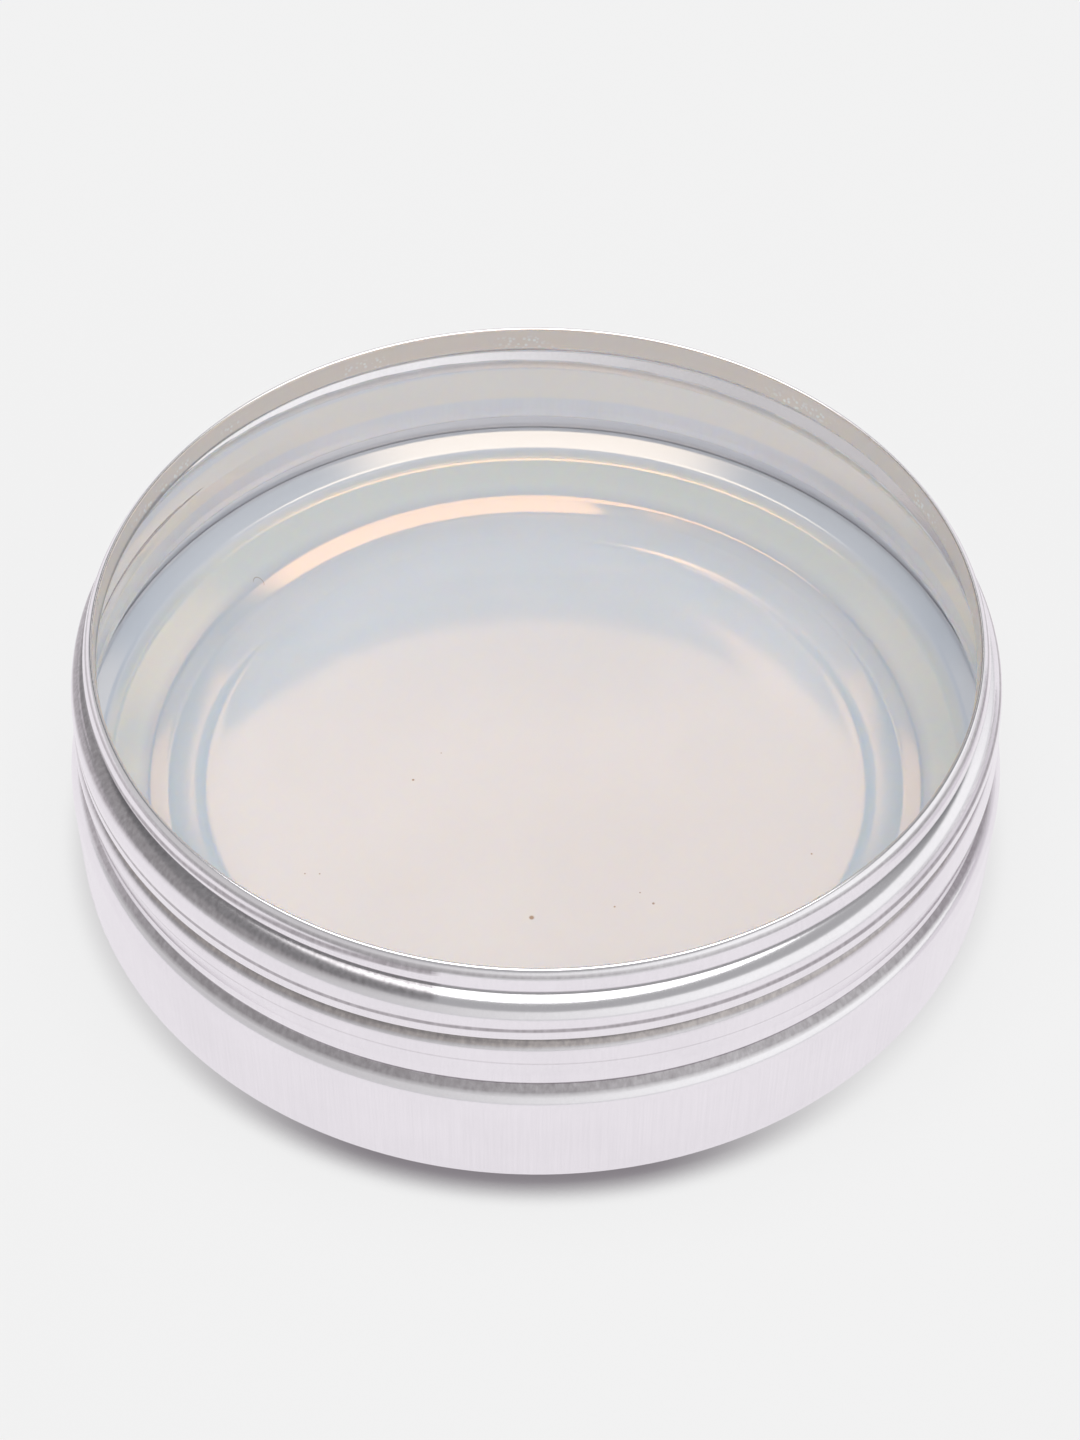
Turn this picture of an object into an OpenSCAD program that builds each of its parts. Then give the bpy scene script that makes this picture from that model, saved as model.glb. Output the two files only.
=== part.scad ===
// Screw-neck tin for shoe polish: a drawn aluminium base with its wax, and the lid with its liner.
// The base stands open on the table. The lid lies upside down beside it, as it is put down in use.
// Millimetres, +Z up, origin at the centre of the underside of the base.

/* [Base] */
// Outside diameter of the body
body_d = 83; // [60:0.5:110]
// Height of the base, from the table to the top of the rolled rim
base_h = 25; // [22:0.5:32]
// Height at which the shoulder starts to round inward
shoulder_z = 10; // [8:0.5:12]
// Radius of the rounded shoulder
shoulder_r = 2.5; // [2:0.1:3]
// Radius of the bottom corner, outside
foot_r = 2.2; // [1:0.1:4]
// Thickness of the sheet
sheet_t = 0.4; // [0.3:0.05:0.6]

/* [Neck] */
// How far the neck stands in from the body, on the radius
neck_in = 1.05; // [0.9:0.05:1.6]
// Depth of the small groove between the shoulder and the neck
relief_depth = 0.6; // [0.3:0.05:0.8]
// Radius of the rounding at the top of the neck
neck_round = 2.75; // [2:0.05:3.2]
// Height of the rolled rim
rim_h = 2.1; // [1.6:0.1:2.6]
// Width of the rolled rim at its lower edge
rim_w = 1.15; // [0.9:0.05:1.4]

/* [Thread] */
// Rise of the thread in one turn
pitch = 4.4; // [3.5:0.1:5]
// Depth of the groove that is rolled into the neck
groove_depth = 0.75; // [0.5:0.05:0.9]
// Width of the groove at its floor
groove_floor = 1; // [0.8:0.1:1.4]
// Width of the groove at the face of the neck
groove_mouth = 2.4; // [2:0.1:2.8]
// Height of the groove at the front of the tin
groove_front_z = 18.2; // [17.5:0.1:19]
// Turns of the groove behind the front, down to its closed end
turns_down = 0.44; // [0.3:0.02:0.6]
// Turns of the groove past the front, up to its open end
turns_up = 0.97; // [0.8:0.01:1.1]

/* [Wax] */
// Level of the flat middle of the wax, above the table
wax_z = 4.9; // [3:0.1:6]
// Distance from the wall to the edge of the flat middle
wax_flat_in = 11; // [9:0.5:14]
// Distance from the wall to the foot of the steep bank
wax_foot_in = 5.9; // [4.5:0.1:7]
// Distance from the wall to the top of the steep bank
wax_bank_in = 3.1; // [2.4:0.1:3.6]
// Rise of the wax from the flat middle to the foot of the bank
wax_foot_h = 1.15; // [0.4:0.05:1.5]
// Rise of the steep bank
wax_bank_h = 2.45; // [1.5:0.05:2.8]
// Rise of the wax from the top of the bank to the wall
wax_edge_h = 1.4; // [0.6:0.1:1.6]

/* [Lid] */
// Thickness of the foam liner
liner_t = 1.1; // [0.8:0.1:1.6]
// Corner radius at the top of the lid, outside
lid_corner_r = 1.5; // [1:0.1:2]
// Gap between the closed lid and the shoulder
lid_gap = 0.4; // [0.3:0.05:0.8]
// Depth of the lid's thread, measured from the inside of its skirt
lid_thread_depth = 1.15; // [1:0.05:1.3]
// Turns of the lid's thread
lid_turns = 0.72; // [0.5:0.02:0.9]
// Distance from the axis of the tin to the axis of the lid where it lies
lid_park = 115; // [90:1:160]

/* [Hidden] */

// Colours
bare_metal = [0.80, 0.79, 0.80];
wax_colour = [0.87, 0.85, 0.83];
foam_white = [0.95, 0.95, 0.94];

// Fine steps of the drawn arcs and of the thread, in degrees
arc_step = 11;
thread_step = 6;

// Clearances
wax_gap = 0.03;
cut_over = 0.4;

// Base radii and heights
body_r = body_d / 2;
neck_r = body_r - neck_in;
foot_c = body_r - foot_r;
shoulder_c = body_r - shoulder_r;
shoulder_end = 58;
relief_r = neck_r - relief_depth;
shoulder_top = shoulder_z + shoulder_r * sin(shoulder_end);
relief_z = shoulder_top + 0.35;
land_z = relief_z + 0.55;
neck_c = neck_r - neck_round;
neck_c_z = base_h - 5.25;
neck_end = 68;
rim_r = neck_r - 1.4;
rim_in_r = rim_r - rim_w;
rim_z = base_h - rim_h;
rim_face_r = 2.6;
rim_crest_r = 0.35;
rim_face_end = 38;
rim_face_c = rim_r - rim_face_r;
rim_face_c_z = rim_z + 0.25;
crest_c = rim_in_r + rim_crest_r;
crest_c_z = base_h - rim_crest_r;

// Lid sizes, in the place where it closes the tin
lid_in_r = body_r - sheet_t;
lid_top = base_h + liner_t + sheet_t;
lid_corner_c = body_r - lid_corner_r;
lid_corner_z = lid_top - lid_corner_r;
lid_hem_w = 0.8;
lid_hem_h = 0.9;
lid_hem_r = body_r - lid_hem_w;
lid_foot_z = shoulder_z + sqrt(pow(shoulder_r, 2) - pow(lid_hem_r - shoulder_c, 2)) + lid_gap;
liner_r = lid_corner_c;
lid_tooth_tip = 0.7;
lid_tooth_root = 1.9;
lid_turn_start = -0.28;

// Turns over which a thread fades out at a closed end, and the depth that it fades to
closed_fade = 0.1;
lid_fade = 0.08;
least_depth = 0.02;

// Points of an arc about c, from angle a to angle b
function arc(c, r, a, b) =
    let (n = max(2, ceil(abs(b - a) / arc_step)))
    [for (i = [0:n]) [c[0] + r * cos(a + (b - a) * i / n), c[1] + r * sin(a + (b - a) * i / n)]];

function flip(pts) = [for (i = [len(pts) - 1:-1:0]) pts[i]];

// Outside of the base, from the middle of the underside up to the crest of the rim
base_outside = concat(
    [[0, 0]],
    arc([foot_c, foot_r], foot_r, -90, 0),
    arc([shoulder_c, shoulder_z], shoulder_r, 0, shoulder_end),
    [[relief_r, shoulder_top + 0.2], [relief_r, relief_z], [neck_r, land_z]],
    arc([neck_c, neck_c_z], neck_round, 0, neck_end),
    [[rim_in_r + sheet_t + 0.1, rim_z - 0.15], [rim_in_r + sheet_t + 0.1, rim_z], [rim_r - 0.12, rim_z]],
    arc([rim_face_c, rim_face_c_z], rim_face_r, 0, rim_face_end),
    arc([crest_c, crest_c_z], rim_crest_r, rim_face_end + 10, 180)
);

// Inside of the base, from the rim down to the middle of the floor
base_inside = concat(
    [[rim_in_r, rim_z - 0.1]],
    flip(arc([neck_c, neck_c_z], neck_round - sheet_t, 0, neck_end)),
    [[neck_r - sheet_t, land_z + 0.2], [relief_r - sheet_t, relief_z + 0.1], [relief_r - sheet_t, shoulder_top]],
    flip(arc([shoulder_c, shoulder_z], shoulder_r - sheet_t, 0, shoulder_end - 8)),
    flip(arc([foot_c, foot_r], foot_r - sheet_t, -90, 0)),
    [[0, sheet_t]]
);

// How much of the thread's depth is left at turn t, where it fades out over f0 turns at its start and f1 at its end
function depth_left(t, t0, t1, f0, f1) =
    min(1, f0 > 0 ? (t - t0) / f0 : 1, f1 > 0 ? (t1 - t) / f1 : 1);

// Right-hand thread that passes the front at height z_front, from turn t0 to turn t1.
// Its section runs from a root of width w_root at radius r_root to a tip of width w_tip at radius r_tip.
module thread_sweep(r_root, w_root, r_tip, w_tip, z_front, t0, t1, f0, f1) {
    n = ceil((t1 - t0) * 360 / thread_step);
    pts = [
        for (i = [0:n])
            let (
                t = t0 + (t1 - t0) * i / n,
                a = t * 360 - 90,
                z = z_front + t * pitch,
                r = r_root + (r_tip - r_root) * max(least_depth, depth_left(t, t0, t1, f0, f1))
            )
            for (p = [[r_root, w_root / 2], [r, w_tip / 2], [r, -w_tip / 2], [r_root, -w_root / 2]])
                [p[0] * cos(a), p[0] * sin(a), z + p[1]]
    ];
    sides = [
        for (i = [0:n - 1], j = [0:3])
            let (a = i * 4 + j, b = i * 4 + (j + 1) % 4)
            each [[a, b, a + 4], [b, b + 4, a + 4]]
    ];
    ends = [[3, 2, 1, 0], [for (j = [0:3]) n * 4 + j]];
    polyhedron(pts, concat(sides, ends));
}

// Groove cutter on the outside of the neck
module neck_groove() {
    slope = (groove_mouth - groove_floor) / groove_depth;
    thread_sweep(
        neck_r + cut_over, groove_mouth + slope * cut_over, neck_r - groove_depth, groove_floor,
        groove_front_z, -turns_down, turns_up, closed_fade, 0
    );
}

// The bead that the groove makes on the inside of the neck
module neck_bead() {
    intersection() {
        thread_sweep(
            neck_r - sheet_t / 2, groove_mouth + 0.7, neck_r - groove_depth - sheet_t, groove_floor + 0.34,
            groove_front_z, -turns_down, turns_up, closed_fade, 0
        );
        rotate_extrude() polygon(concat(base_outside, [[0, base_h]]));
    }
}

module tin_body() {
    color(bare_metal)
    difference() {
        union() {
            rotate_extrude() polygon(concat(base_outside, base_inside));
            neck_bead();
        }
        neck_groove();
    }
}

// The wax fills the bottom of the tin. It has set first along the wall, and the rest has sunk as it cooled.
module wax_fill() {
    edge_r = body_r - sheet_t - wax_gap;
    foot_z = wax_z + wax_foot_h;
    bank_z = foot_z + wax_bank_h;
    edge_z = min(bank_z + wax_edge_h, shoulder_z - 0.05);
    color(wax_colour)
    rotate_extrude()
    polygon(concat(
        [[0, sheet_t + wax_gap]],
        arc([foot_c, foot_r], foot_r - sheet_t - wax_gap, -90, 0),
        [[edge_r, edge_z], [edge_r - 0.67 * wax_bank_in, bank_z + 0.25 * (edge_z - bank_z)]],
        [[edge_r - wax_bank_in, bank_z], [edge_r - wax_foot_in, foot_z], [edge_r - wax_flat_in, wax_z]],
        [[0, wax_z]]
    ));
}

// The lid where it closes the tin
module closed_lid() {
    outside = concat(
        [[0, lid_top]],
        flip(arc([lid_corner_c, lid_corner_z], lid_corner_r, 0, 90)),
        [[body_r, lid_foot_z + 0.25], [body_r - 0.25, lid_foot_z]]
    );
    inside = concat(
        [[lid_hem_r + 0.2, lid_foot_z], [lid_hem_r, lid_foot_z + 0.2]],
        [[lid_hem_r, lid_foot_z + lid_hem_h - 0.2], [lid_hem_r + 0.2, lid_foot_z + lid_hem_h]],
        [[lid_in_r, lid_foot_z + lid_hem_h]],
        arc([lid_corner_c, lid_corner_z], lid_corner_r - sheet_t, 0, 90),
        [[0, lid_top - sheet_t]]
    );
    tooth_r = lid_in_r - lid_thread_depth;
    last_turn = lid_turn_start + lid_turns;
    difference() {
        union() {
            rotate_extrude() polygon(concat(outside, inside));
            thread_sweep(
                lid_in_r + sheet_t / 2, lid_tooth_root, tooth_r, lid_tooth_tip,
                groove_front_z, lid_turn_start, last_turn, lid_fade, lid_fade
            );
        }
        thread_sweep(
            body_r + cut_over, lid_tooth_root - 0.1, tooth_r + sheet_t, lid_tooth_tip - 0.3,
            groove_front_z, lid_turn_start, last_turn, lid_fade, lid_fade
        );
    }
}

// Turns a piece of the closed lid over and sets it down beside the tin
module put_down() {
    translate([lid_park, 0, lid_top]) rotate([180, 0, 0]) children();
}

module lid_shell() {
    color(bare_metal) put_down() closed_lid();
}

module lid_liner() {
    color(foam_white) put_down() translate([0, 0, base_h]) cylinder(h = liner_t, r = liner_r);
}

tin_body();
wax_fill();
lid_shell();
lid_liner();
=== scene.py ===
"""Dresses the shoe polish tin: the drawn aluminium base, its wax, and the screw lid with its foam liner.

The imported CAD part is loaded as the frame. Each of its four pieces gets a finer mesh in the same place and a
finish made from nodes. A plain studio has the camera at the photograph's angle. Sizes are in millimetres and
become metres when a mesh is finished. A Point is a radius and a height, and a Step is where a smooth step is
0 and where it is 1.
"""

from __future__ import annotations

import logging
import math
from dataclasses import dataclass, field
from enum import Enum
from typing import Any, Callable

import bmesh
import bpy
from mathutils import Matrix, Vector

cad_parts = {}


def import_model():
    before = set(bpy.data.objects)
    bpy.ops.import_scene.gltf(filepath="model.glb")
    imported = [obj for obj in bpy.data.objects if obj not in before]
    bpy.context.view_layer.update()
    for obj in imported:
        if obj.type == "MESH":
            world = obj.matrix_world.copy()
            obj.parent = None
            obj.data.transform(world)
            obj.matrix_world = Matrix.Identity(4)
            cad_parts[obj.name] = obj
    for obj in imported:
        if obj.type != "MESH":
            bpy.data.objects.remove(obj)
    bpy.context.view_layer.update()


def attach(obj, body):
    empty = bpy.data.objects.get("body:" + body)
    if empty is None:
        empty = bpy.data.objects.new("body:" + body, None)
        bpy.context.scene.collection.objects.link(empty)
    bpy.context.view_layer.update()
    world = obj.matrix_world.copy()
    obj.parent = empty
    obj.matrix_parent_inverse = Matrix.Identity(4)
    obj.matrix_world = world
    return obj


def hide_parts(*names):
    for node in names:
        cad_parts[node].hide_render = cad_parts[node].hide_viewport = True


LOG = logging.getLogger("polish_tin")
MM = 0.001
# Vertex attribute with the share of painted shade in the base's grooves, crevices, hem and crease.
CREVICE_SHADE = "crevice_shade"
WELD = 1e-4
ROUND_PARTS = 4
Triple = tuple[float, float, float]
Colour = Triple
Point = tuple[float, float]
Step = tuple[float, float]


class Body(Enum):
    """The CAD bodies that the pieces ride on."""

    TIN = "tin"
    LID = "lid"


class Slot(Enum):
    """The material slots of the record."""

    TIN_METAL = "tin_metal"
    WAX = "wax"
    LID_METAL = "lid_metal"
    LINER_FOAM = "liner_foam"


class Wire:
    """One value in a node tree, which arithmetic extends with Math nodes."""

    def __init__(self, graph: Graph, socket: bpy.types.NodeSocket) -> None:
        """Keeps the tree and the output socket that holds the value."""
        self.graph = graph
        self.socket = socket

    def __add__(self, other: Wire | float) -> Wire:
        """The sum with another value."""
        return self.graph.maths("ADD", self, other)

    def __radd__(self, other: float) -> Wire:
        """The sum with a number on the left."""
        return self.graph.maths("ADD", other, self)

    def __sub__(self, other: Wire | float) -> Wire:
        """The difference from another value."""
        return self.graph.maths("SUBTRACT", self, other)

    def __rsub__(self, other: float) -> Wire:
        """The difference of a number on the left and this value."""
        return self.graph.maths("SUBTRACT", other, self)

    def __mul__(self, other: Wire | float) -> Wire:
        """The product with another value."""
        return self.graph.maths("MULTIPLY", self, other)

    def __rmul__(self, other: float) -> Wire:
        """The product with a number on the left."""
        return self.graph.maths("MULTIPLY", other, self)

    def __truediv__(self, other: Wire | float) -> Wire:
        """The quotient by another value."""
        return self.graph.maths("DIVIDE", self, other)

    def __pow__(self, other: Wire | float) -> Wire:
        """This value raised to a power."""
        return self.graph.maths("POWER", self, other)

    def rise(self, low: float, high: float) -> Wire:
        """A smooth step of this value.

        Args:
            low: Where the step is 0.
            high: Where the step is 1. It may be below low, and then the step falls.

        Returns:
            The value of the step, from 0 to 1.
        """
        return self.graph.node(
            "ShaderNodeMapRange",
            {"interpolation_type": "SMOOTHSTEP"},
            {"Value": self, "From Min": low, "From Max": high},
        )

    def rise_mm(self, step: Step) -> Wire:
        """A smooth step of this length in metres, from 0 to 1 between two lengths in millimetres."""
        low, high = step
        return self.rise(low * MM, high * MM)


class Graph:
    """A node tree that is written from Python."""

    def __init__(self, tree: bpy.types.NodeTree) -> None:
        """Takes a tree and empties it."""
        self.tree = tree
        tree.nodes.clear()

    def node(
        self,
        kind: str,
        settings: dict[str, Any] | None = None,
        inputs: dict[str | int, Any] | None = None,
        output: str | int | None = 0,
    ) -> Wire | None:
        """Adds a node.

        Args:
            kind: The node's type.
            settings: Its properties, which are set before its sockets.
            inputs: Values or wires for its sockets, by name or number.
            output: The output that is wanted, by name or number, or None for a node without one.

        Returns:
            The wire of that output.
        """
        made = self.tree.nodes.new(kind)
        for name, value in (settings or {}).items():
            setattr(made, name, value)
        for key, value in (inputs or {}).items():
            socket = made.inputs[key]
            if isinstance(value, Wire):
                self.tree.links.new(value.socket, socket)
            elif socket.type == "RGBA" and len(value) == 3:
                socket.default_value = (*value, 1.0)
            else:
                socket.default_value = value
        return None if output is None else Wire(self, made.outputs[output])

    def maths(self, operation: str, first: Wire | float, second: Wire | float = 0.0) -> Wire:
        """Adds a Math node on one or two values."""
        return self.node("ShaderNodeMath", {"operation": operation}, {0: first, 1: second})

    def place(self) -> Wire:
        """The point of the surface in the part's own frame."""
        return self.node("ShaderNodeTexCoord", output="Object")

    def split(self, vector: Wire) -> tuple[Wire, Wire, Wire]:
        """The three values of a vector."""
        apart = self.node("ShaderNodeSeparateXYZ", inputs={0: vector}).socket.node
        return tuple(Wire(self, out) for out in apart.outputs)

    def stretch(self, vector: Wire, scale: Triple) -> Wire:
        """A vector that a Mapping node has scaled."""
        return self.node("ShaderNodeMapping", inputs={"Vector": vector, "Scale": scale})

    def noise(self, vector: Wire, scale: float, detail: float = 2.0, roughness: float = 0.5) -> Wire:
        """Smooth noise from 0 to 1.

        Args:
            vector: The point it is read at.
            scale: Its features to a metre.
            detail: Its finer layers.
            roughness: The share of the finer layers.

        Returns:
            The noise value.
        """
        return self.node(
            "ShaderNodeTexNoise",
            inputs={"Vector": vector, "Scale": scale, "Detail": detail, "Roughness": roughness},
        )

    def cells(self, vector: Wire, scale: float) -> Wire:
        """The distance to the nearest of scattered points, so many to a metre."""
        inputs = {"Vector": vector, "Scale": scale}
        return self.node("ShaderNodeTexVoronoi", {"feature": "F1"}, inputs, "Distance")

    def blend(self, factor: Wire | float, first: Wire | Colour, second: Wire | Colour) -> Wire:
        """A colour between two colours."""
        return self.node("ShaderNodeMix", {"data_type": "RGBA"}, {0: factor, 6: first, 7: second}, 2)

    def bump(self, height: Wire, distance: float) -> Wire:
        """The normal of a surface that is raised by a height, in metres at a height of 1."""
        return self.node("ShaderNodeBump", inputs={"Height": height, "Distance": distance, "Strength": 1.0})

    def principled(self, **sockets: Any) -> Wire:
        """Adds a Principled shader.

        Args:
            **sockets: Values or wires by the socket's name, with _ for a space.

        Returns:
            The wire of the shader.
        """
        inputs = {name.replace("_", " "): value for name, value in sockets.items()}
        return self.node("ShaderNodeBsdfPrincipled", inputs=inputs)

    def surface(self, **sockets: Any) -> None:
        """Ends the tree in a Principled shader, given as for principled."""
        self.end(self.principled(**sockets))

    def end(self, shader: Wire, kind: str = "ShaderNodeOutputMaterial") -> None:
        """Ends the tree in its output node."""
        self.node(kind, inputs={"Surface": shader}, output=None)


def new_material(name: str) -> tuple[bpy.types.Material, Graph]:
    """Adds a material.

    Args:
        name: Name of the material.

    Returns:
        The material and its empty tree.
    """
    material = bpy.data.materials.new(name)
    material.use_nodes = True
    return material, Graph(material.node_tree)


def upright_distance(x: Wire, y: Wire) -> Wire:
    """The distance from the upright axis that x and y are measured from."""
    return (x ** 2.0 + y ** 2.0) ** 0.5


class Section:
    """A profile in the XZ plane, drawn from one point with extruded lines and spun arcs, in millimetres."""

    def __init__(self, r: float, z: float) -> None:
        """Starts the profile at a radius and a height."""
        self.bm = bmesh.new()
        self.tip = self.bm.verts.new((r, 0.0, z))

    def line(self, r: float, z: float, parts: int = 1) -> Section:
        """Draws a straight line.

        Args:
            r: Radius of its end.
            z: Height of its end.
            parts: Edges it is made of.

        Returns:
            The section.
        """
        step = (Vector((r, 0.0, z)) - self.tip.co) / parts
        for _ in range(parts):
            start = self.tip.co.copy()
            self.tip = bmesh.ops.extrude_vert_indiv(self.bm, verts=[self.tip])["verts"][0]
            self.tip.co = start + step
        return self

    def arc(self, r: float, z: float, degrees: float, steps: int) -> Section:
        """Draws an arc.

        Args:
            r: Radius of its centre from the axis.
            z: Height of its centre.
            degrees: Its angle, positive from outward to upward.
            steps: Edges it is made of.

        Returns:
            The section.
        """
        made = bmesh.ops.spin(
            self.bm,
            geom=[self.tip],
            cent=(r, 0.0, z),
            axis=(0.0, -1.0, 0.0),
            angle=math.radians(degrees),
            steps=steps,
        )
        self.tip = next(g for g in made["geom_last"] if isinstance(g, bmesh.types.BMVert))
        return self

    def soften(self, width: float, *corners: Point) -> Section:
        """Rounds corners of the profile.

        Args:
            width: How far from the corner the rounding starts.
            *corners: Radius and height of each corner.

        Returns:
            The section.
        """
        for r, z in corners:
            near = min(self.bm.verts, key=lambda v: (v.co - Vector((r, 0.0, z))).length)
            bmesh.ops.bevel(
                self.bm,
                geom=[near],
                offset=width,
                offset_type="OFFSET",
                affect="VERTICES",
                segments=ROUND_PARTS,
                profile=0.5,
                material=-1,
            )
        return self

    def revolve(self, steps: int) -> bmesh.types.BMesh:
        """Spins the profile about the axis into a closed mesh, an eighth of a turn that is copied round.

        Args:
            steps: Faces around the axis, a multiple of 8.

        Returns:
            The mesh, with its normals outward.
        """
        bm, origin, axis = self.bm, (0.0, 0.0, 0.0), (0.0, 0.0, 1.0)
        whole = bm.verts[:] + bm.edges[:]
        bmesh.ops.spin(bm, geom=whole, cent=origin, axis=axis, angle=math.tau / 8, steps=steps // 8)
        for share in (8, 4, 2):
            copied = bmesh.ops.duplicate(bm, geom=bm.verts[:] + bm.edges[:] + bm.faces[:])["geom"]
            verts = [g for g in copied if isinstance(g, bmesh.types.BMVert)]
            bmesh.ops.rotate(bm, verts=verts, cent=origin, matrix=Matrix.Rotation(math.tau / share, 3, "Z"))
        bmesh.ops.remove_doubles(bm, verts=bm.verts[:], dist=WELD)
        bmesh.ops.recalc_face_normals(bm, faces=bm.faces[:])
        return bm


@dataclass(frozen=True)
class Flank:
    """One side of a rolled groove, in section.

    Attributes:
        flat: Distance from the groove's middle at which its bank starts.
        mouth: Distance at which the bank has reached the wall.
        bowl: Power that shapes the bank, or 0 for a soft S.
    """

    flat: float
    mouth: float
    bowl: float = 0.0

    def share(self, off: float) -> float:
        """The share of the groove's depth at a distance from its middle."""
        left = min(1.0, max(0.0, (self.mouth - off) / (self.mouth - self.flat)))
        return left ** self.bowl if self.bowl else ease(left)


@dataclass(frozen=True)
class RolledThread:
    """A right-hand thread that is rolled into a wall of sheet metal.

    Attributes:
        front_z: Height of the groove's middle at turn 0, which is at the front.
        pitch: Its rise in a turn.
        first_turn: Turn at which it starts.
        last_turn: Turn at which it ends.
        first_fade: Turns that it takes to reach its depth.
        last_fade: Turns that it takes to run out.
        depth: Its full depth.
        above: Its upper side.
        below: Its lower side.
    """

    front_z: float
    pitch: float
    first_turn: float
    last_turn: float
    first_fade: float
    last_fade: float
    depth: float
    above: Flank
    below: Flank

    def push(self, azimuth: float, z: float) -> float:
        """How far the wall is pushed in.

        Args:
            azimuth: Angle about the axis, in radians.
            z: Height of the point.

        Returns:
            The depth at that point.
        """
        most = 0.0
        start = (azimuth + math.pi / 2) / math.tau
        for turn in (start + n for n in range(-2, 3)):
            if not self.first_turn <= turn <= self.last_turn:
                continue
            off = z - self.front_z - self.pitch * turn
            share = (self.above if off > 0 else self.below).share(abs(off))
            if self.first_fade:
                share *= ease((turn - self.first_turn) / self.first_fade)
            if self.last_fade:
                share *= ease((self.last_turn - turn) / self.last_fade)
            most = max(most, share)
        return most * self.depth


def ease(share: float) -> float:
    """A smooth step from 0 to 1 with level ends."""
    share = min(1.0, max(0.0, share))
    return share * share * (3.0 - 2.0 * share)


def soft_least(first: float, second: float, width: float) -> float:
    """The lesser of two numbers, rounded where they are nearly equal."""
    gap = max(width - abs(first - second), 0.0) / width
    return min(first, second) - gap * gap * width * 0.25


def finish_mesh(bm: bmesh.types.BMesh, name: str, material: bpy.types.Material) -> bpy.types.Object:
    """Turns a mesh in millimetres into a smooth object in metres.

    Args:
        bm: The mesh, which is freed.
        name: The object's name.
        material: Its finish.

    Returns:
        The object, which sits at the origin.
    """
    bmesh.ops.scale(bm, verts=bm.verts[:], vec=(MM, MM, MM))
    for face in bm.faces:
        face.smooth = True
    mesh = bpy.data.meshes.new(name)
    bm.to_mesh(mesh)
    bm.free()
    mesh.materials.append(material)
    made = bpy.data.objects.new(name, mesh)
    bpy.context.scene.collection.objects.link(made)
    return made


@dataclass(frozen=True)
class BareAluminium:
    """Bare drawn aluminium sheet: satin, with fine draw lines up the wall and handling marks around it."""

    tint: Colour = (0.915, 0.9, 0.918)
    dull: Colour = (0.775, 0.76, 0.78)
    smooth: float = 0.1
    rough: float = 0.2
    draw_scale: float = 5200.0
    turned_scale: float = 6500.0
    cloud_scale: float = 120.0
    relief_depth: float = 0.000004

    def material(self, name: str) -> bpy.types.Material:
        """The finish as a material.

        Args:
            name: Name of the material.

        Returns:
            The material.
        """
        material, g = new_material(name)
        point = g.place()
        draw = g.noise(g.stretch(point, (1.0, 1.0, 0.02)), self.draw_scale, 3.0, 0.6)
        turned = g.noise(g.stretch(point, (0.03, 0.03, 1.0)), self.turned_scale, 3.0, 0.6)
        cloud = g.noise(point, self.cloud_scale, 4.0, 0.55)
        marks = turned.rise(0.62, 0.74) * cloud.rise(0.45, 0.7)
        rough = self.smooth + (self.rough - self.smooth) * (draw * 0.6 + cloud * 0.4)
        tone = draw.rise(0.2, 0.8) * 0.25 + cloud.rise(0.3, 0.75) * 0.2 + marks * 0.3
        relief = draw * 0.6 + turned * 0.4
        colour, rough = self.stain(g, point, g.blend(tone, self.tint, self.dull), rough)
        normal = g.bump(relief, self.relief_depth)
        g.surface(Base_Color=colour, Metallic=1.0, Roughness=rough, Normal=normal)
        return material

    def stain(self, g: Graph, point: Wire, colour: Wire, rough: Wire) -> tuple[Wire, Wire]:
        """What use has left on the metal, which is nothing on clean sheet.

        Args:
            g: The tree, which is not used here.
            point: The point of the surface, which is not used here.
            colour: Colour of the clean metal.
            rough: Roughness of the clean metal.

        Returns:
            The colour and the roughness with the stain.
        """
        return colour, rough


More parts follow.
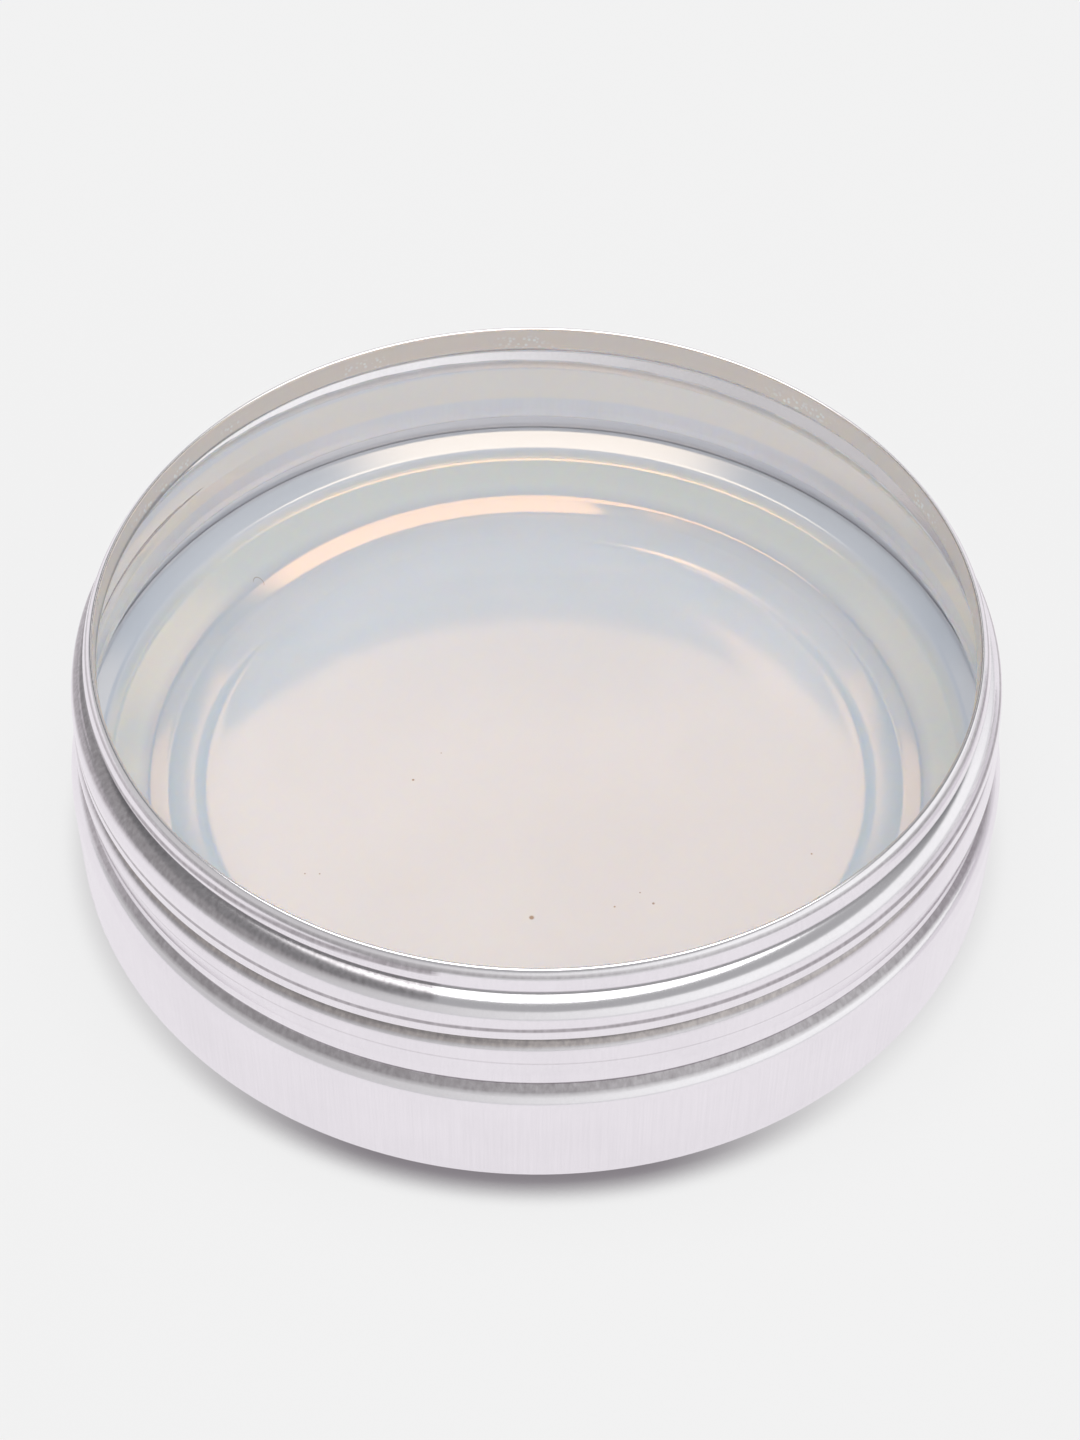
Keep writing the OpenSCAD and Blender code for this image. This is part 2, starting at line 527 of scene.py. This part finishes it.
@dataclass(frozen=True)
class FilledAluminium(BareAluminium):
    """Bare aluminium of the base, with painted shade in its grooves and crevices, specks of wax and a wax film
    inside its rim, the film's brown partly a painted reflection of the wax, and a painted warm reflection
    inside the neck.
    """

    # Wax film on the rim's inner face; its brown tint is partly a painted reflection of the wax.
    film_and_reflection: Colour = (0.84, 0.74, 0.65)
    speck: Colour = (0.95, 0.93, 0.89)
    # Colour of the painted shade in the grooves and crevices that the vertex attribute marks.
    crevice_shade: Colour = (0.3, 0.28, 0.29)
    # Painted warm reflection of the wax, laid on a band inside the neck.
    neck_reflection: Colour = (1.0, 0.92, 0.84)
    face_r: Step = (38.2, 38.0)
    face_z: Step = (22.6, 22.9)
    speck_z: Step = (24.4, 23.6)
    neck_r: Step = (40.25, 40.15)
    neck_low: Step = (14.4, 14.9)
    neck_high: Step = (18.5, 18.1)
    cover: float = 0.85
    speck_scale: float = 2300.0
    patch_scale: float = 160.0
    streak_scale: float = 2600.0

    def stain(self, g: Graph, point: Wire, colour: Wire, rough: Wire) -> tuple[Wire, Wire]:
        """The wax film and specks on the rim, the film partly a painted reflection of the wax, a painted warm
        reflection inside the neck, and painted shade in the grooves and crevices.

        Args:
            g: The tree.
            point: The point of the surface.
            colour: Colour of the clean metal.
            rough: Roughness of the clean metal.

        Returns:
            The colour and the roughness with the film and its painted reflection, the specks, the painted
            reflection inside the neck and the painted shade.
        """
        x, y, z = g.split(point)
        reach = upright_distance(x, y)
        face = reach.rise_mm(self.face_r) * z.rise_mm(self.face_z)
        cells = g.cells(point, self.speck_scale)
        patch = g.noise(point, self.patch_scale, 2.0).rise(0.5, 0.62) * z.rise_mm(self.speck_z)
        specks = cells.rise(0.42, 0.3) * patch
        # The film on the rim's face: partly wax, partly a painted reflection of the wax.
        colour = g.blend(face * self.cover, colour, self.film_and_reflection)
        colour = g.blend(face * specks, colour, self.speck)
        # A painted warm reflection of the wax on a band inside the neck.
        neck = reach.rise_mm(self.neck_r) * z.rise_mm(self.neck_low) * z.rise_mm(self.neck_high)
        colour = g.blend(neck * self.cover, colour, self.neck_reflection)
        # Painted shade, streaked, in the grooves, crevices, hem and crease, read from the vertex attribute.
        crevice_shaded = g.node("ShaderNodeAttribute", {"attribute_name": CREVICE_SHADE}, output="Fac")
        streak = g.noise(g.stretch(point, (1.0, 1.0, 0.05)), self.streak_scale, 2.0)
        colour = g.blend(crevice_shaded * (0.5 + 0.5 * streak), colour, self.crevice_shade)
        return colour, rough + face * 0.14 + crevice_shaded * 0.05


@dataclass(frozen=True)
class PouredWax:
    """Pale wax with a pearly gloss: cool where it scatters light, warm where it mirrors it."""

    cream: Colour = (0.69, 0.765, 0.83)
    milk: Colour = (0.67, 0.745, 0.81)
    sheen: Colour = (1.0, 0.52, 0.2)
    # Paler, bluer colour of the wax bank: painted light and painted cool reflection where the bank gets little
    # light.
    painted_bank_light: Colour = (0.8, 0.89, 1.0)
    edge_sheen: Colour = (1.0, 0.8, 0.58)
    fleck: Colour = (0.30, 0.27, 0.25)
    flecks: tuple[Triple, ...] = (
        (-0.25, -17.3, 0.3), (-11.15, -1.5, 0.16), (10.4, -15.6, 0.16), (-20.3, -12.6, 0.1),
        (-19.0, -12.6, 0.1), (7.0, -16.0, 0.12), (9.25, -14.4, 0.1), (24.6, -9.8, 0.12), (-8.7, 1.8, 0.08),
    )
    curl: Triple = (-26.9, 22.6, 0.5)
    painted_bank_r: Step = (34.8, 36.2)
    shallow_r: Step = (38.2, 39.2)
    scatter: Triple = (0.0016, 0.0013, 0.001)
    ior: float = 1.9
    cloud_scale: float = 60.0
    ripple_scale: float = 220.0
    ripple_depth: float = 0.00001

    def material(self, name: str) -> bpy.types.Material:
        """The finish as a material.

        Args:
            name: Name of the material.

        Returns:
            The material.
        """
        material, g = new_material(name)
        point = g.place()
        cloud = g.noise(point, self.cloud_scale, 4.0, 0.5)
        colour = g.blend(cloud.rise(0.3, 0.7), self.cream, self.milk)
        x, y, _ = g.split(point)
        reach = upright_distance(x, y)
        # Painted light: the bank near the wall is paler and bluer, in place of the light and cool reflections
        # it lacks.
        colour = g.blend(reach.rise_mm(self.painted_bank_r), colour, self.painted_bank_light)
        ripple = g.noise(point, self.ripple_scale, 3.0, 0.5)
        gloss = {
            "Base_Color": self.marked(g, x, y, colour),
            "Roughness": 0.09 + 0.04 * cloud,
            "IOR": self.ior,
            "Specular_IOR_Level": 1.0,
            "Normal": g.bump(ripple, self.ripple_depth),
        }
        deep = g.principled(
            **gloss,
            Specular_Tint=self.sheen,
            Subsurface_Weight=1.0,
            Subsurface_Radius=self.scatter,
            Subsurface_Scale=1.0,
        )
        shallow = g.principled(**gloss, Specular_Tint=self.edge_sheen)
        g.end(g.node("ShaderNodeMixShader", inputs={0: reach.rise_mm(self.shallow_r), 1: deep, 2: shallow}))
        return material

    def marked(self, g: Graph, x: Wire, y: Wire, colour: Wire) -> Wire:
        """The colour of the wax with what lies in it.

        Args:
            g: The tree.
            x: Place of the point to the right of the axis.
            y: Place of the point behind the axis.
            colour: Colour of the clean wax.

        Returns:
            The colour with the flecks and the small curl.
        """
        for at_x, at_y, size in self.flecks:
            away = upright_distance(x - at_x * MM, y - at_y * MM)
            colour = g.blend(away.rise_mm((size, 0.4 * size)), colour, self.fleck)
        at_x, at_y, size = self.curl
        behind = y - at_y * MM
        away = upright_distance(x - at_x * MM, behind)
        line = away.rise_mm((0.86 * size, 0.98 * size)) * away.rise_mm((1.12 * size, size))
        return g.blend(line * behind.rise_mm((-0.2, 0.1)) * 0.6, colour, self.fleck)


@dataclass(frozen=True)
class LinerFoam:
    """White closed-cell foam with a fine skin."""

    white: Colour = (0.86, 0.86, 0.85)
    shade: Colour = (0.78, 0.78, 0.77)
    cell_scale: float = 1600.0
    cloud_scale: float = 90.0
    pore_depth: float = 0.00003

    def material(self, name: str) -> bpy.types.Material:
        """The finish as a material.

        Args:
            name: Name of the material.

        Returns:
            The material.
        """
        material, g = new_material(name)
        point = g.place()
        cloud = g.noise(point, self.cloud_scale, 4.0, 0.6)
        pores = g.cells(point, self.cell_scale).rise(0.1, 0.7)
        g.surface(
            Base_Color=g.blend(pores * 0.5 + cloud * 0.4, self.shade, self.white),
            Roughness=0.55 + 0.2 * cloud,
            Normal=g.bump(pores, self.pore_depth),
        )
        return material


@dataclass
class TinBase:
    """The drawn base: flat underside, straight wall, rounded shoulder, screw neck and rolled rim, one sheet.

    The foot and the dome are the centres of its roundings.
    """

    body_r: float = 41.5
    inner_r: float = 41.1
    neck_r: float = 40.45
    sheet: float = 0.4
    foot: Point = (39.3, 2.2)
    shoulder_z: float = 10.0
    relief: tuple[Point, Point] = ((40.25, 12.42), (40.17, 12.52))
    inner_relief: tuple[Point, Point] = ((39.97, 12.45), (39.98, 12.2))
    neck_foot: Point = (40.45, 13.05)
    inner_foot: Point = (40.05, 13.15)
    dome: Point = (37.7, 19.75)
    dome_round: float = 2.75
    hem: tuple[Point, Point] = ((38.93, 22.9), (38.4, 22.88))
    lip: Point = (37.9, 22.8)
    crease_z: float = 15.9
    belly: float = 0.27
    # Lowest radius and height at which shade is painted in the grooves; points below are neither shaded nor
    # rolled.
    crevice_shade_from: Point = (37.0, 11.7)
    rolled_z: tuple[float, float] = (12.6, 22.75)
    around: int = 272
    thread: RolledThread = RolledThread(
        front_z=18.2,
        pitch=4.4,
        first_turn=-0.44,
        last_turn=0.97,
        first_fade=0.12,
        last_fade=0.0,
        depth=0.85,
        above=Flank(0.0, 0.7),
        below=Flank(0.0, 1.75, 2.6),
    )
    bead: RolledThread = RolledThread(
        front_z=17.9,
        pitch=4.4,
        first_turn=-0.44,
        last_turn=0.97,
        first_fade=0.35,
        last_fade=0.0,
        depth=0.9,
        above=Flank(0.0, 1.58, 1.0),
        below=Flank(0.0, 1.7, 1.0),
    )
    finish: FilledAluminium = field(default_factory=FilledAluminium)

    def section(self) -> Section:
        """Draws the sheet.

        Returns:
            Its profile, from the middle of the underside round to the middle of the floor.
        """
        (foot_r, foot_z), (dome_r, dome_z) = self.foot, self.dome
        s = Section(0.0, 0.12).line(33.5, 0.12, 5).line(34.8, 0.0, 3).line(foot_r, 0.0, 3)
        s.arc(foot_r, foot_z, 90, 10).line(self.body_r, self.shoulder_z, 5).arc(39.1, self.shoulder_z, 46, 12)
        s.line(*self.relief[0], 3).line(*self.relief[1]).line(*self.neck_foot)
        s.line(self.neck_r, dome_z, 96).arc(dome_r, dome_z, 68, 30)
        s.line(38.4, 22.5).line(*self.hem[1]).line(*self.hem[0]).line(39.05, 23.27, 2)
        s.arc(36.72, 23.27, 46, 12).arc(38.2, 24.8, 134, 8)
        s.line(*self.lip, 6).line(38.58, 21.93, 2)
        s.arc(dome_r, dome_z, -68, 24).line(*self.inner_foot, 64)
        s.line(*self.inner_relief[0], 2).line(*self.inner_relief[1])
        s.line(41.05, self.shoulder_z, 4).line(self.inner_r, 9.6).line(self.inner_r, foot_z, 4)
        s.arc(foot_r, foot_z, -90, 8).line(0.0, self.sheet, 6)
        s.soften(0.04, *self.relief).soften(0.12, self.neck_foot, *self.hem)
        return s.soften(0.1, *self.inner_relief).soften(0.15, self.inner_foot, self.lip)

    def roll_neck(self, bm: bmesh.types.BMesh) -> None:
        """Rolls both faces of the neck, and marks where shade is painted on the base.

        Args:
            bm: The mesh of the base.
        """
        # The attribute holds the painted shade of the grooves and crevices.
        crevice_shade = bm.verts.layers.float.new(CREVICE_SHADE)
        least_r, least_z = self.crevice_shade_from
        for v in bm.verts:
            r, z = math.hypot(v.co.x, v.co.y), v.co.z
            if z < least_z or r < least_r:
                continue
            azimuth = math.atan2(v.co.y, v.co.x)
            inside = self.is_inside(r, z)
            v[crevice_shade] = self.crevice_shade_inside(azimuth, z) if inside else self.crevice_shade_outside(azimuth, r, z)
            if z >= self.rolled_z[0]:
                pushed = self.rolled(azimuth, r, z, inside)
                v.co.x, v.co.y = pushed * math.cos(azimuth), pushed * math.sin(azimuth)

    def crevice_shade_outside(self, azimuth: float, r: float, z: float) -> float:
        """The painted shade on the outer face: in the thread, the relief, the rim's crevice and hem, and the
        crease.

        Args:
            azimuth: Angle about the axis, in radians.
            r: Radius of the point.
            z: Height of the point.

        Returns:
            Its share, from 0 to 1.
        """
        groove = ease((self.thread.push(azimuth, z) / self.thread.depth - 0.06) / 0.34)
        above = ease((self.thread.push(azimuth, z - 1.75) / self.thread.depth - 0.65) / 0.2)
        relief = ease((z - 11.6) / 0.3) * ease((13.1 - z) / 0.3)
        crevice = ease((z - 22.25) / 0.1) * ease((23.3 - z) / 0.15) * ease((r - 38.3) / 0.1)
        hem = 0.8 * ease(1.4 - abs(z - 24.5) / 0.13) * ease((r - 38.3) / 0.1)
        crease = 0.4 * ease(1.2 - abs(z - self.crease_z) / 0.1)
        return max(groove, above, relief, 0.6 * crevice, hem, crease)

    def crevice_shade_inside(self, azimuth: float, z: float) -> float:
        """The painted shade on the inner face, which is on the underside of the bead.

        Args:
            azimuth: Angle about the axis, in radians.
            z: Height of the point.

        Returns:
            Its share, from 0 to 1.
        """
        push = self.bead.push(azimuth, z)
        if self.bead.push(azimuth, z + 0.05) <= push:
            return 0.0
        return 0.4 * ease(1.6 * push / self.bead.depth - 0.3)

    def rolled(self, azimuth: float, r: float, z: float, inside: bool) -> float:
        """Rolls one point: presses the thread in, waves the wall, and bellies it outside at the crease.

        Args:
            azimuth: Angle about the axis, in radians.
            r: Radius of the point before.
            z: Height of the point.
            inside: Whether it is on the inner face.

        Returns:
            The radius of the point.
        """
        wall = self.neck_r - (self.sheet if inside else 0.0)
        thread = self.bead if inside else self.thread
        pushed = soft_least(r, wall - thread.push(azimuth, z), 0.12) if z < self.rolled_z[1] else r
        wave = 0.025 * math.sin(3 * azimuth + 0.6 * z) + 0.015 * math.sin(7 * azimuth - 0.9 * z + 1.0)
        pushed += wave * ease((z - 13.0) / 2.0) * ease((22.6 - z) / 1.5)
        if not inside:
            pushed += self.belly * max(0.0, 1.0 - math.hypot(z - self.crease_z, 0.15) / 1.9)
        return pushed

    def is_inside(self, r: float, z: float) -> bool:
        """Finds the face of the sheet that a point of the unrolled neck is on.

        Args:
            r: Radius of the point.
            z: Height of the point.

        Returns:
            Whether it is the inner face.
        """
        dome_r, dome_z = self.dome
        if z <= 13.1:
            return r < 40.11 + 0.62 * max(0.0, 12.42 - z)
        if z <= dome_z:
            return r < self.neck_r - self.sheet * 0.5
        return math.hypot(r - dome_r, z - dome_z) < self.dome_round - self.sheet * 0.5

    def build(self) -> bpy.types.Object:
        """Makes the base.

        Returns:
            The object in place of the CAD node tin_body.
        """
        bm = self.section().revolve(self.around)
        self.roll_neck(bm)
        made = finish_mesh(bm, "drawn_base", self.finish.material("bare_drawn_aluminium"))
        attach(made, Body.TIN.value)
        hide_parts("tin_body")
        return made


@dataclass
class WaxFill:
    """The polish: a flat cake with an edge that stands up along the wall, because the wax sank as it cooled.

    The points of its edge go from the wall inward. The slope is highest at the far right and lowest at the
    far left, each of which is a direction and a reach in degrees.
    """

    level: float = 4.9
    underside: float = 0.43
    foot: Point = (39.3, 2.2)
    wall: Point = (41.07, 9.85)
    edge: tuple[Point, ...] = (
        (40.95, 9.9), (39.2, 8.66), (38.0, 8.5), (35.15, 5.87), (33.4, 5.24), (30.0, 4.9), (24.0, 4.9),
    )
    edge_parts: tuple[int, ...] = (1, 6, 3, 8, 6, 6, 6)
    far_right: tuple[float, float] = (45.0, 42.0)
    far_left: tuple[float, float] = (110.0, 38.0)
    flat_lift: float = 0.4
    dip_lift: float = 0.45
    side_lift: float = 0.4
    soft_r: tuple[float, float] = (26.0, 32.6)
    soft_rounds: int = 30
    around: int = 256
    finish: PouredWax = field(default_factory=PouredWax)

    def section(self) -> Section:
        """Draws the wax.

        Returns:
            Its profile, from the middle of its underside to the middle of its face.
        """
        foot_r, foot_z = self.foot
        s = Section(0.0, self.underside).line(foot_r, self.underside, 4).arc(foot_r, foot_z, 90, 6)
        s.line(*self.wall, 4)
        for (r, z), parts in zip(self.edge, self.edge_parts):
            s.line(r, z, parts)
        s.line(0.0, self.level, 20)
        return s.soften(0.25, *self.edge[1:4]).soften(0.35, *self.edge[4:6])

    def lift(self, r: float, azimuth: float) -> float:
        """How far the face of the wax stands above its profile.

        Args:
            r: Radius of the point.
            azimuth: Angle about the axis, in radians.

        Returns:
            The height, which is most on the far right, where more wax has set, and least on the far left.
        """
        (foot, _), (dip, _), (flat, _), (start, _) = self.edge[3:]
        (right_turn, right_reach), (left_turn, left_reach) = self.far_right, self.far_left
        turn = math.degrees(azimuth)
        right = ease(1.0 - abs(turn - right_turn) / right_reach)
        left = ease(1.6 - abs(turn - left_turn) / left_reach)
        at_flat = self.flat_lift * right
        at_dip = self.dip_lift * right + self.side_lift * (1.0 - max(left, right))
        if not start < r < foot:
            return 0.0
        if r < flat:
            return at_flat * (r - start) / (flat - start)
        if r < dip:
            return at_flat + (at_dip - at_flat) * (r - flat) / (dip - flat)
        return at_dip * (foot - r) / (foot - dip)

    def fill_up(self, bm: bmesh.types.BMesh) -> None:
        """Makes the slope at the foot of the bank uneven, as poured wax is, and softens where it starts.

        Args:
            bm: The mesh of the wax.
        """
        face = [v for v in bm.verts if v.co.z > self.level - 0.5]
        for v in face:
            v.co.z += self.lift(math.hypot(v.co.x, v.co.y), math.atan2(v.co.y, v.co.x))
        low, high = self.soft_r
        slope = [v for v in face if low < math.hypot(v.co.x, v.co.y) < high]
        for _ in range(self.soft_rounds):
            bmesh.ops.smooth_vert(bm, verts=slope, factor=0.5, use_axis_z=True)

    def build(self) -> bpy.types.Object:
        """Makes the wax.

        Returns:
            The object in place of the CAD node wax_fill.
        """
        bm = self.section().revolve(self.around)
        self.fill_up(bm)
        made = finish_mesh(bm, "poured_wax", self.finish.material("pale_wax"))
        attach(made, Body.TIN.value)
        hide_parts("wax_fill")
        return made


@dataclass
class ScrewLid:
    """The screw lid, which lies upside down beside the tin, with its foam liner."""

    top: float = 26.5
    park_x: float = 115.0
    outer_r: float = 41.5
    inner_r: float = 41.1
    corner: Point = (40.0, 25.0)
    hem_z: float = 12.63
    hem_top: float = 13.4
    thread_r: float = 40.95
    liner_face: float = 25.02
    around: int = 288
    thread: RolledThread = RolledThread(
        front_z=18.2,
        pitch=4.4,
        first_turn=-0.28,
        last_turn=0.44,
        first_fade=0.08,
        last_fade=0.08,
        depth=1.15,
        above=Flank(0.3, 0.95),
        below=Flank(0.3, 0.95),
    )
    metal: BareAluminium = field(default_factory=BareAluminium)
    foam: LinerFoam = field(default_factory=LinerFoam)

    def shell_section(self) -> Section:
        """Draws the closed lid.

        Returns:
            Its profile, from the middle of its top round to the middle of its inside.
        """
        corner_r, corner_z = self.corner
        s = Section(0.0, 26.38).line(35.0, 26.38, 5).line(35.9, self.top, 3).line(corner_r, self.top, 3)
        s.arc(corner_r, corner_z, -90, 10).line(self.outer_r, self.hem_z, 64)
        s.arc(self.inner_r, self.hem_z, -180, 10)
        s.line(40.7, 12.93).arc(40.9, 12.93, -180, 8).line(self.inner_r, self.hem_top)
        return s.line(self.inner_r, corner_z, 60).arc(corner_r, corner_z, 90, 8).line(0.0, 26.1, 6)

    def liner_section(self) -> Section:
        """Draws the liner, with the ring that the rim of the tin has pressed into it.

        Returns:
            Its profile, from the middle of its back to the middle of its face.
        """
        face = self.liner_face
        s = Section(0.0, 26.07).line(39.7, 26.07, 6).line(39.95, 25.8).line(39.95, 25.2).line(39.7, face)
        s.line(39.3, face).line(38.9, 25.06).line(38.6, 25.12)
        s.line(38.0, 25.12).line(37.7, 25.06).line(37.3, face)
        return s.line(0.0, face, 8)

    def put_down(self, bm: bmesh.types.BMesh) -> None:
        """Turns a mesh of the closed lid over and sets it down beside the tin."""
        turn = Matrix.Translation((self.park_x, 0.0, self.top)) @ Matrix.Rotation(math.pi, 4, "X")
        bmesh.ops.transform(bm, matrix=turn, verts=bm.verts[:])

    def build_shell(self) -> bpy.types.Object:
        """Makes the metal shell.

        Returns:
            The object in place of the CAD node lid_shell.
        """
        bm = self.shell_section().revolve(self.around)
        for v in bm.verts:
            r, azimuth = math.hypot(v.co.x, v.co.y), math.atan2(v.co.y, v.co.x)
            if r > self.thread_r and v.co.z > self.hem_top:
                r -= self.thread.push(azimuth, v.co.z)
                v.co.x, v.co.y = r * math.cos(azimuth), r * math.sin(azimuth)
        self.put_down(bm)
        made = finish_mesh(bm, "screw_lid", self.metal.material("bare_lid_aluminium"))
        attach(made, Body.LID.value)
        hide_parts("lid_shell")
        return made

    def build_liner(self) -> bpy.types.Object:
        """Makes the liner.

        Returns:
            The object in place of the CAD node lid_liner.
        """
        bm = self.liner_section().revolve(self.around)
        self.put_down(bm)
        made = finish_mesh(bm, "lid_liner_disc", self.foam.material("white_foam"))
        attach(made, Body.LID.value)
        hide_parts("lid_liner")
        return made


@dataclass
class Studio:
    """The pale floor, the soft light all round and the camera."""

    floor_colour: Colour = (0.875, 0.875, 0.875)
    paper_colour: Colour = (0.885, 0.85, 0.89)
    shade_colour: Colour = (0.2, 0.18, 0.2)
    shade_reach: float = 3.5
    shade_r: Step = (65.0, 55.0)
    floor_half: float = 3.0
    floor_z: float = -0.00002
    horizon: Colour = (0.6, 0.6, 0.62)
    left_wall: Colour = (0.62, 0.61, 0.62)
    right_wall: Colour = (1.0, 1.0, 1.01)
    left_back: Colour = (0.4, 0.4, 0.41)
    right_back: Colour = (0.75, 0.75, 0.77)
    front_ring: Colour = (0.42, 0.42, 0.43)
    back_ring: Colour = (0.16, 0.16, 0.17)
    window: Colour = (1.42, 1.4, 1.36)
    ceiling: Colour = (3.0, 3.0, 3.0)
    aim: Triple = (0.327, -0.748, 12.313)
    target_z: float = 13.0
    distance: float = 249.2
    elevation: float = 47.421
    roll: float = 0.613
    lens: float = 69.862

    def build_floor(self) -> bpy.types.Object:
        """Makes the floor, with a shade for the camera where the tin and the lid stand on it.

        Returns:
            The floor.
        """
        bm = bmesh.new()
        bmesh.ops.create_grid(bm, x_segments=1, y_segments=1, size=self.floor_half / MM)
        material, g = new_material("pale_floor")
        mirror = g.node("ShaderNodeLightPath", output="Is Glossy Ray")
        near = {"Distance": self.shade_reach * MM}
        open_share = g.node("ShaderNodeAmbientOcclusion", {"samples": 16}, near, "AO")
        glow = g.blend(mirror, self.floor_colour, self.paper_colour)
        eye = g.node("ShaderNodeLightPath", output="Is Camera Ray")
        x, y, _ = g.split(g.place())
        reach = upright_distance(x, y)
        side = x / reach
        deep = (0.3 + 0.7 * side.rise(-0.85, -0.3)) * (0.15 + 0.85 * side.rise(0.75, 0.2))
        deep = 1.0 - (1.0 - deep) * reach.rise_mm(self.shade_r)
        glow = g.blend(open_share.rise(0.92, 0.42) * deep * eye, glow, self.shade_colour)
        lit = g.node("ShaderNodeBsdfDiffuse", inputs={"Color": self.floor_colour})
        shown = g.node("ShaderNodeEmission", inputs={"Color": glow, "Strength": 1.0})
        g.end(g.node("ShaderNodeMixShader", inputs={0: (eye + mirror) * 0.85, 1: lit, 2: shown}))
        made = finish_mesh(bm, "floor", material)
        made.location.z = self.floor_z
        return made

    def build_world(self) -> None:
        """Makes the soft light: pale walls, a darker ring above them, a window behind and a bright ceiling.

        The camera sees the floor's colour instead.
        """
        world = bpy.data.worlds.new("studio")
        bpy.context.scene.world = world
        world.use_nodes = True
        g = Graph(world.node_tree)
        x, y, z = g.split(g.node("ShaderNodeTexCoord", output="Generated"))
        walls = g.blend(x.rise(-0.8, 0.8), self.left_wall, self.right_wall)
        back = g.blend(x.rise(-0.6, 0.6), self.left_back, self.right_back)
        walls = g.blend(y.rise(0.3, 0.8), walls, back)
        light = g.blend(z.rise(0.0, 0.1), self.horizon, walls)
        ring = g.blend(y.rise(0.0, 0.5), self.front_ring, self.back_ring)
        light = g.blend(z.rise(0.49, 0.57), light, ring)
        pane = y.rise(0.4, 0.52) * z.rise(0.66, 0.74) * z.rise(0.84, 0.8)
        pane = pane * x.rise(-0.16, -0.12) * x.rise(0.16, 0.12)
        light = g.blend(pane, light, self.window)
        light = g.blend(z.rise(0.85, 0.9), light, self.ceiling)
        eye = g.node("ShaderNodeLightPath", output="Is Camera Ray")
        light = g.blend(eye, light, self.floor_colour)
        shader = g.node("ShaderNodeBackground", inputs={"Color": light, "Strength": 1.0})
        g.end(shader, "ShaderNodeOutputWorld")

    def build_camera(self) -> bpy.types.Object:
        """Makes the camera at the photograph's viewing angle.

        Returns:
            The camera, which is the scene's.
        """
        data = bpy.data.cameras.new("camera")
        data.sensor_width = 36.0
        data.lens = self.lens
        data.clip_start = 0.01
        made = bpy.data.objects.new("camera", data)
        bpy.context.scene.collection.objects.link(made)
        lift = math.radians(self.elevation)
        back = Vector((0.0, -math.cos(lift), math.sin(lift)))
        made.location = (Vector((0.0, 0.0, self.target_z)) + back * self.distance) * MM
        look = (Vector(self.aim) * MM - made.location).to_track_quat("-Z", "Y").to_matrix()
        made.rotation_euler = (look @ Matrix.Rotation(math.radians(self.roll), 3, "Z")).to_euler()
        bpy.context.scene.camera = made
        return made


def main() -> None:
    """Builds the tin, its wax and its lid, and the studio round them."""
    logging.basicConfig(level=logging.INFO, format="%(name)s: %(message)s")
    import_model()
    lid = ScrewLid()
    makers: tuple[Callable[[], bpy.types.Object], ...] = (
        TinBase().build,
        WaxFill().build,
        lid.build_shell,
        lid.build_liner,
    )
    for maker in makers:
        piece = maker()
        LOG.info("%s: %d faces", piece.name, len(piece.data.polygons))
    studio = Studio()
    studio.build_floor()
    studio.build_world()
    studio.build_camera()
    bpy.context.scene.view_settings.view_transform = "Standard"


if __name__ == "__main__":
    main()
